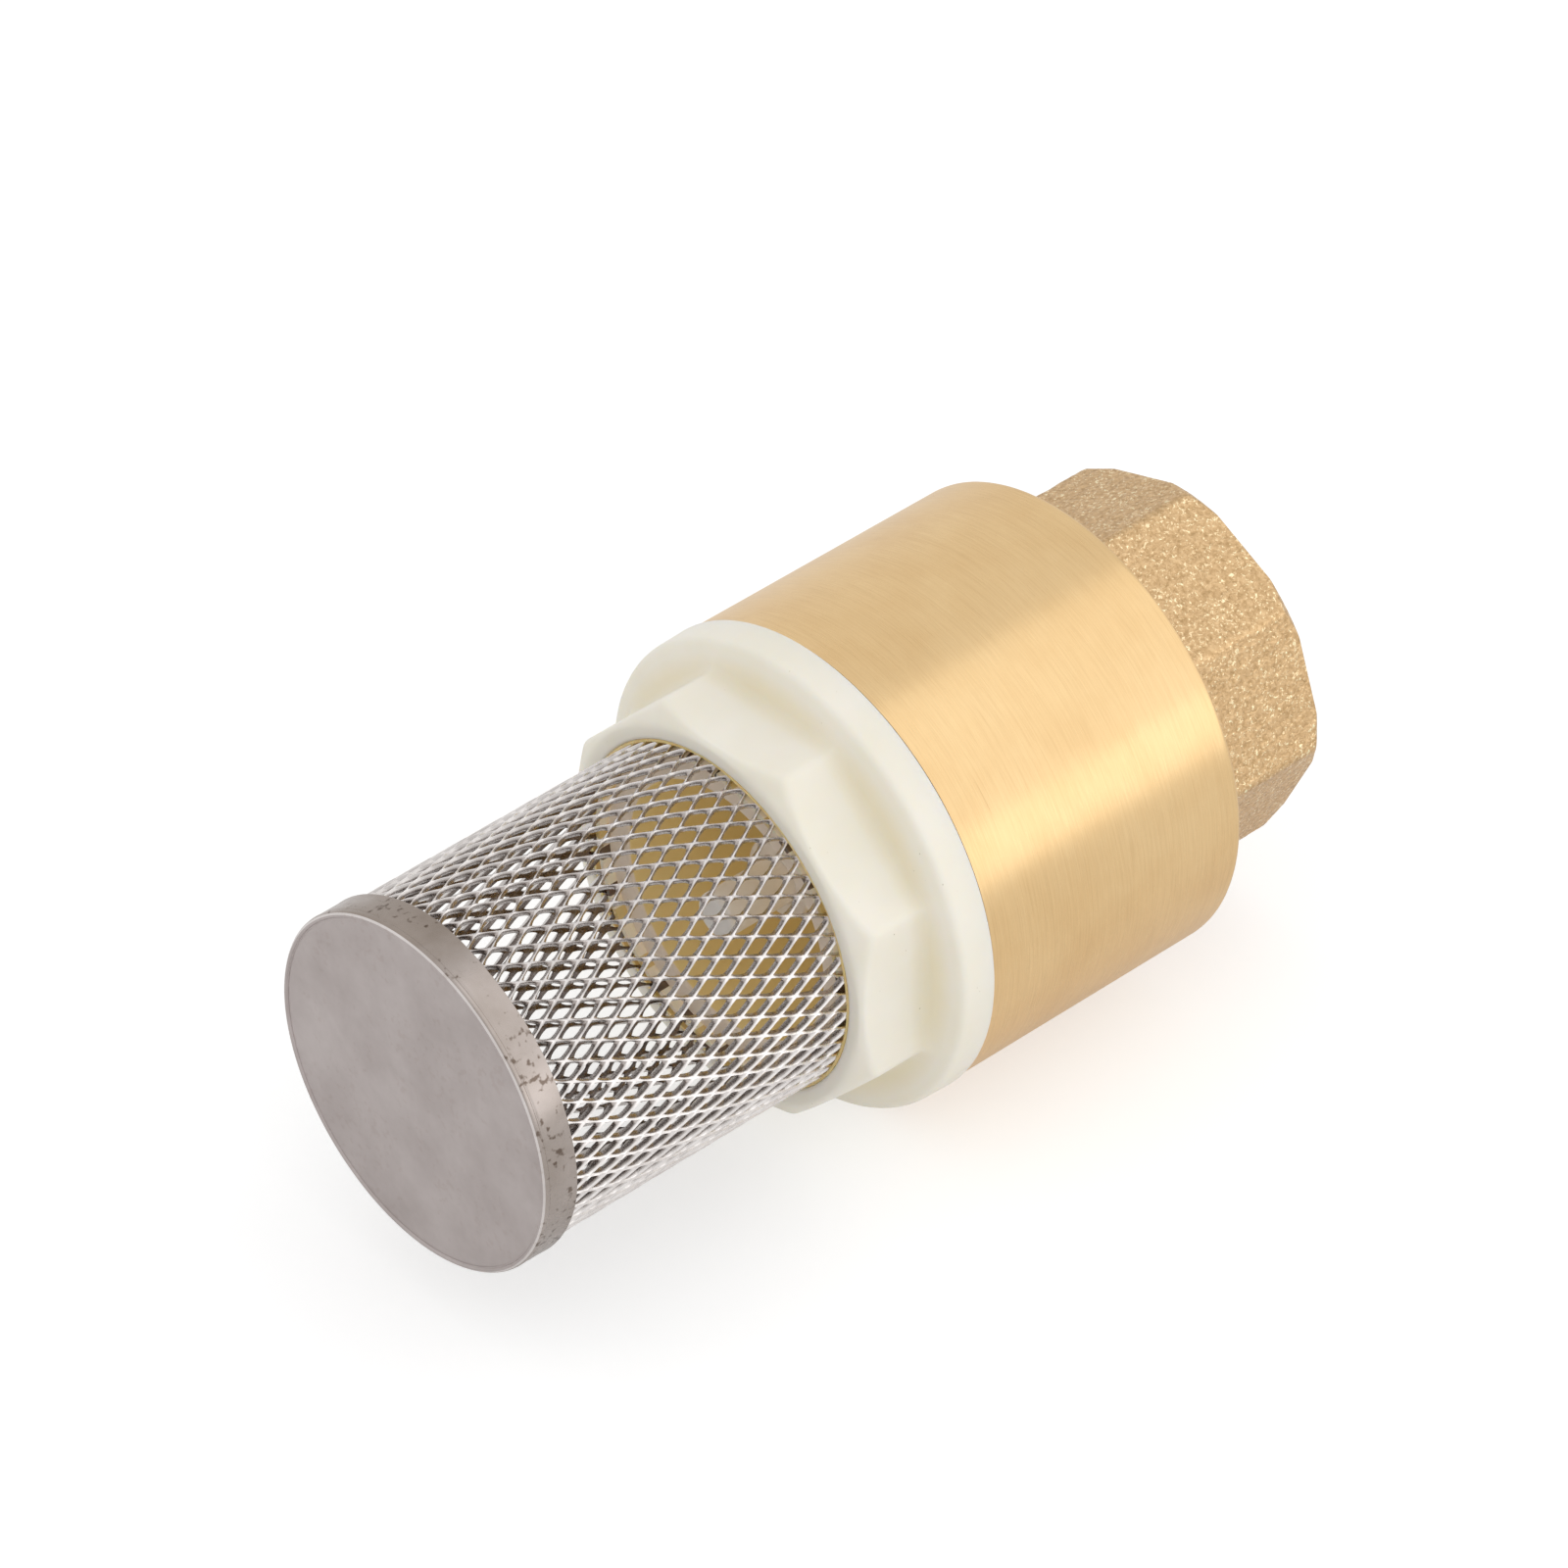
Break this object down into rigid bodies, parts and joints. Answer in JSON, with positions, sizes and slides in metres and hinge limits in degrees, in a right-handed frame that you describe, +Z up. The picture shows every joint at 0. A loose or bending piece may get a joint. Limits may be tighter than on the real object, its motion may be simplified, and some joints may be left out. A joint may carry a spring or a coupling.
{
  "type": "foot valve",
  "caption": "Spring-loaded foot valve: turned brass outlet half, nylon inlet nut, and a tubular expanded-mesh strainer with a stamped end cap.",
  "frame": {"origin": "on the floor under the middle of the valve's length; the valve lies on its side", "axes": "+X along the flow, from the strainer's end cap to the outlet; +Z up; +Y across"},
  "size_m": [0.086, 0.0434, 0.0433],
  "materials": {
    "brass": "turned barrel, sand-cast octagon",
    "nylon": "natural moulded nylon, slightly translucent",
    "acetal": "moulded acetal",
    "mesh_steel": "bright expanded stainless sheet",
    "cap_steel": "stamped stainless sheet, satin",
    "spring_steel": "drawn stainless wire",
    "rubber": "nitrile rubber",
    "resin": "cured amber resin"
  },
  "bodies": {
    "valve_body": {"outlet_body": "brass", "seat_cage": "acetal", "cage_gasket": "rubber", "upper_guide": "acetal", "return_spring": "spring_steel"},
    "poppet": {"poppet_disc": "acetal", "poppet_seal": "rubber", "seal_retainer": "spring_steel", "poppet_stem": "acetal", "stem_clip": "spring_steel", "stem_nut": "spring_steel"},
    "nut_seal": {"nut_o_ring": "rubber"},
    "strainer": {"inlet_nut": "nylon", "strainer_mesh": "mesh_steel", "bond_ring": "resin", "strainer_end_cap": "cap_steel"}
  },
  "joints": [
    {"name": "poppet_lift", "type": "slide", "parent": "valve_body", "child": "poppet", "axis": [1, 0, 0], "range_m": [0, 0.004], "stiffness_N_per_m": 120, "springref_m": -0.012, "deforming": ["return_spring"]},
    {"name": "nut_travel", "type": "slide", "parent": "valve_body", "child": "nut_seal", "axis": [-1, 0, 0], "range_m": [0, 0.0045]},
    {"name": "nut_turn", "type": "hinge", "parent": "nut_seal", "child": "strainer", "pos_m": [0, 0, 0.02165], "axis": [-1, 0, 0], "range_deg": [0, 1080]}
  ],
  "couplings": [
    {"joint": "nut_travel", "follows": "nut_turn", "m_per_rad": 0.0002387}
  ]
}
